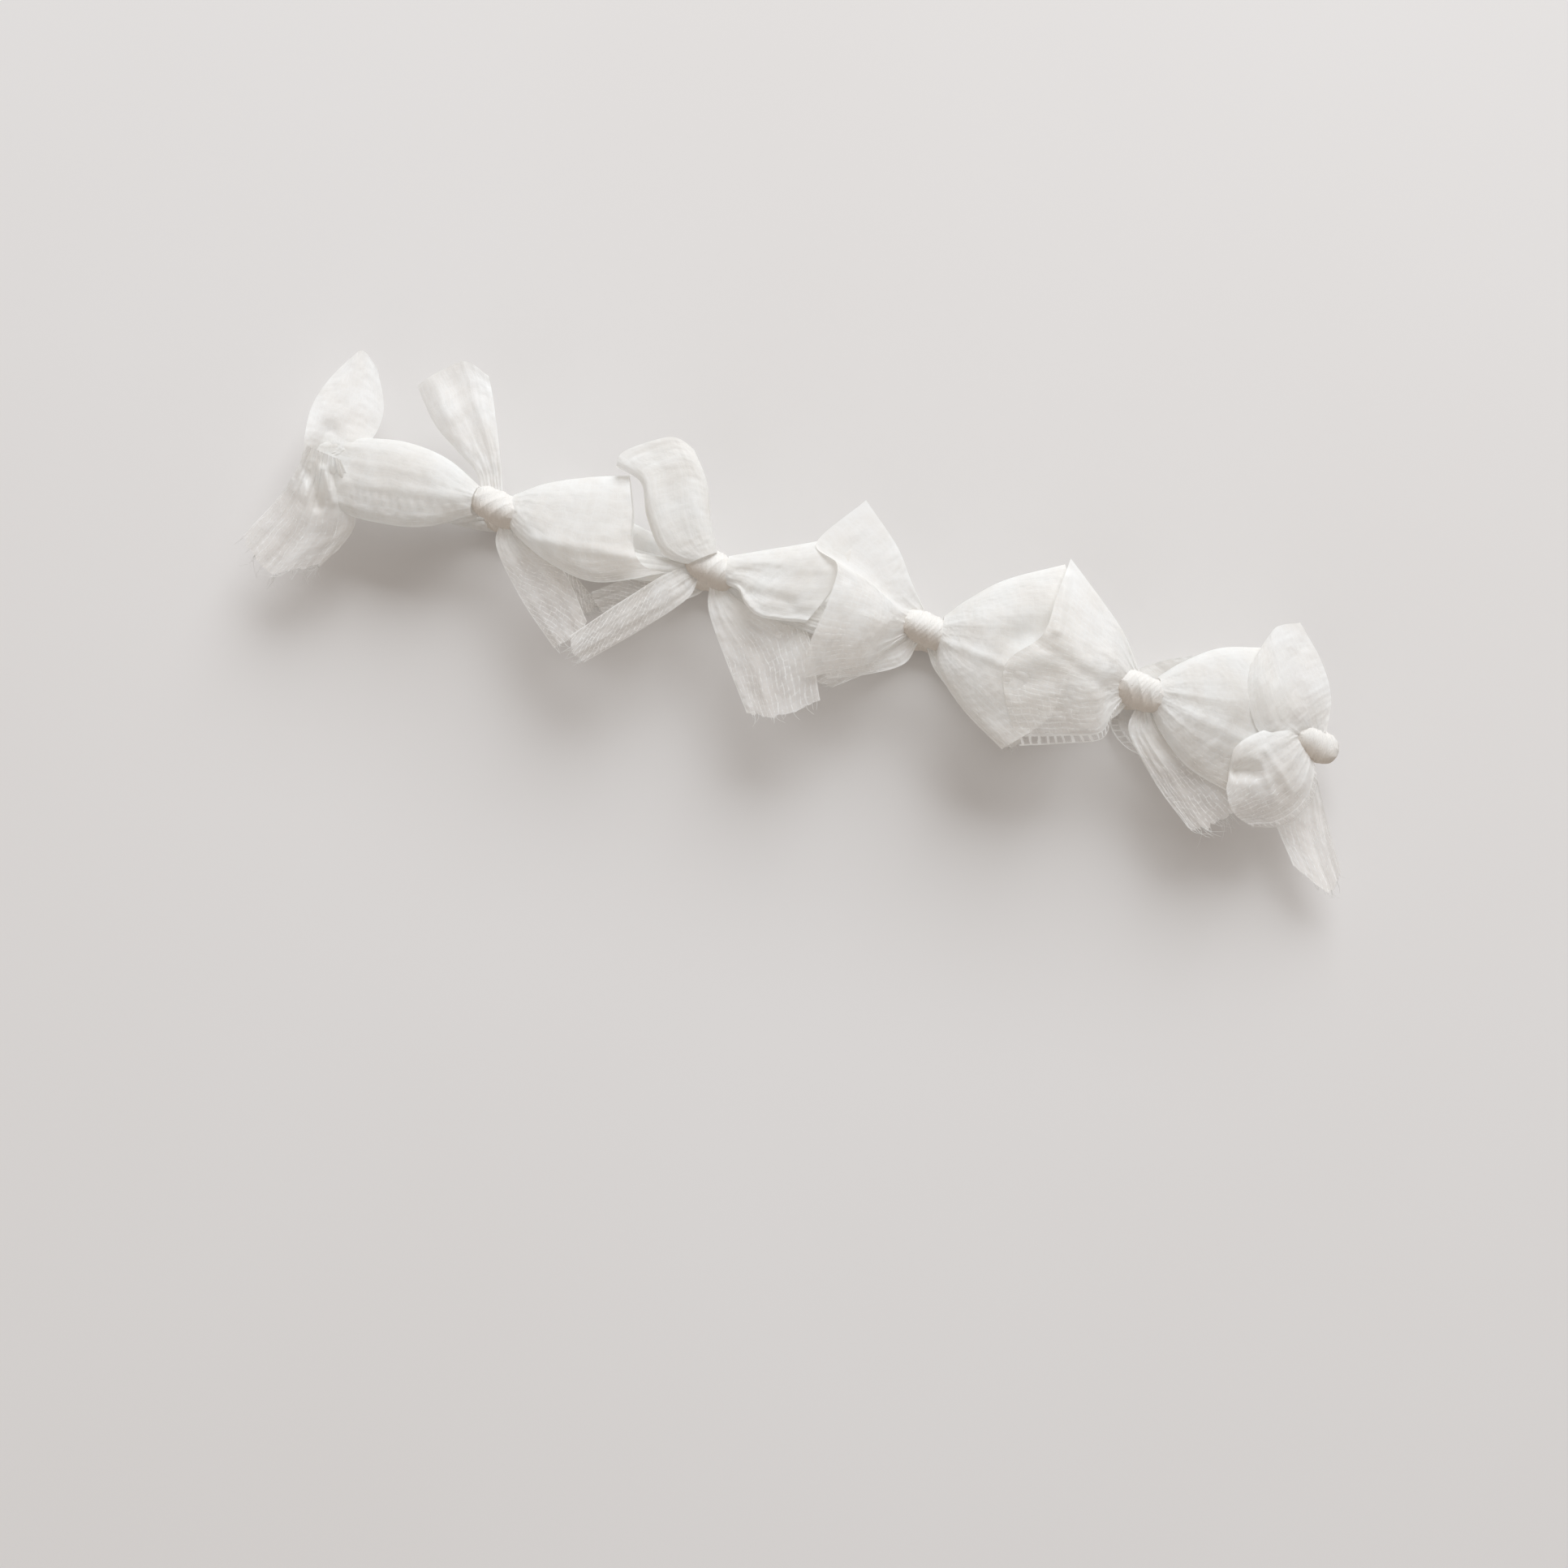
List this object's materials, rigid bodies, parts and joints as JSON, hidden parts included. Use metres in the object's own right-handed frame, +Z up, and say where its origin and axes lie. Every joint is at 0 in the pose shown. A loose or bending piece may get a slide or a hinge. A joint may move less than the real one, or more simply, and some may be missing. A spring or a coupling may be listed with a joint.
{
  "type": "flower crown",
  "caption": "Hair crown of cream gauze ribbon strips tied end to end in a closed loop, with folded ears, drapes and frayed tails at the knots, stored flat",
  "frame": {"origin": "on the table, under the middle of the back run", "axes": "+X along the front run, +Y towards the crown's upper edge, +Z up from the table"},
  "size_m": [0.2971, 0.068, 0.0285],
  "materials": {
    "gauze_span": "matt gathered gauze, several layers deep",
    "gauze_ear": "matt folded gauze, two layers deep",
    "gauze_net": "open leno weave in a single layer, see-through",
    "gauze_knot": "tightly pulled gauze with a soft sheen"
  },
  "bodies": {
    "strip_1": {"ribbon_1": "gauze_span", "ear_1": "gauze_ear", "drape_1": "gauze_net", "knot_2": "gauze_knot"},
    "strip_2": {"ribbon_2": "gauze_span", "ear_2": "gauze_ear", "drape_2": "gauze_net", "tail_2": "gauze_net", "knot_3": "gauze_knot"},
    "strip_3": {"ribbon_3": "gauze_span", "ear_3": "gauze_ear", "drape_3": "gauze_net", "tail_3": "gauze_net", "knot_4": "gauze_knot"},
    "strip_4": {"ribbon_4": "gauze_span", "ear_4": "gauze_ear", "drape_4": "gauze_net", "tail_4": "gauze_net", "knot_5": "gauze_knot"},
    "strip_5": {"ribbon_5": "gauze_span", "ear_5": "gauze_ear", "drape_5": "gauze_net", "tail_5": "gauze_net", "knot_6": "gauze_knot"},
    "strip_6": {"ribbon_6": "gauze_span", "ear_6": "gauze_ear", "drape_6": "gauze_net", "tail_6": "gauze_net", "knot_7": "gauze_knot"},
    "strip_7": {"ribbon_7": "gauze_span", "ear_7": "gauze_ear", "drape_7": "gauze_net", "tail_7": "gauze_net", "knot_8": "gauze_knot"},
    "strip_8": {"ribbon_8": "gauze_span", "ear_8": "gauze_ear", "drape_8": "gauze_net", "tail_8": "gauze_net", "knot_9": "gauze_knot"},
    "strip_9": {"ribbon_9": "gauze_span", "ear_9": "gauze_ear", "drape_9": "gauze_net", "tail_9": "gauze_net", "knot_10": "gauze_knot"},
    "strip_10": {"ribbon_10": "gauze_span", "ear_10": "gauze_ear", "drape_10": "gauze_net", "tail_10": "gauze_net", "knot_1": "gauze_knot"}
  },
  "joints": [
    {"name": "open_8", "type": "hinge", "parent": "strip_8", "child": "strip_7", "pos_m": [0.0285, 0, 0.0049], "axis": [0, -1, 0], "range_deg": [0, 36]},
    {"name": "open_7", "type": "hinge", "parent": "strip_7", "child": "strip_6", "pos_m": [0.0855, 0, 0.0049], "axis": [0, -1, 0], "range_deg": [0, 25]},
    {"name": "open_6", "type": "hinge", "parent": "strip_6", "child": "strip_5", "pos_m": [0.1336, 0, 0.01425], "axis": [0, 1, 0], "range_deg": [0, 122.01]},
    {"name": "open_5", "type": "hinge", "parent": "strip_5", "child": "strip_4", "pos_m": [0.0855, 0, 0.0236], "axis": [0, -1, 0], "range_deg": [0, 25]},
    {"name": "open_4", "type": "hinge", "parent": "strip_4", "child": "strip_3", "pos_m": [0.0285, 0, 0.0236], "axis": [0, -1, 0], "range_deg": [0, 36]},
    {"name": "open_9", "type": "hinge", "parent": "strip_8", "child": "strip_9", "pos_m": [-0.0285, 0, 0.0049], "axis": [0, 1, 0], "range_deg": [0, 36]},
    {"name": "open_10", "type": "hinge", "parent": "strip_9", "child": "strip_10", "pos_m": [-0.0855, 0, 0.0049], "axis": [0, 1, 0], "range_deg": [0, 25]},
    {"name": "open_1", "type": "hinge", "parent": "strip_10", "child": "strip_1", "pos_m": [-0.1336, 0, 0.01425], "axis": [0, -1, 0], "range_deg": [0, 122.01]},
    {"name": "open_2", "type": "hinge", "parent": "strip_1", "child": "strip_2", "pos_m": [-0.0855, 0, 0.0236], "axis": [0, 1, 0], "range_deg": [0, 25]}
  ],
  "couplings": [
    {"joint": "open_7", "follows": "open_8", "ratio": 0.69444},
    {"joint": "open_6", "follows": "open_8", "ratio": 3.3889},
    {"joint": "open_5", "follows": "open_8", "ratio": 0.69444},
    {"joint": "open_4", "follows": "open_8", "ratio": 1},
    {"joint": "open_9", "follows": "open_8", "ratio": 1},
    {"joint": "open_10", "follows": "open_8", "ratio": 0.69444},
    {"joint": "open_1", "follows": "open_8", "ratio": 3.3889},
    {"joint": "open_2", "follows": "open_8", "ratio": 0.69444}
  ]
}
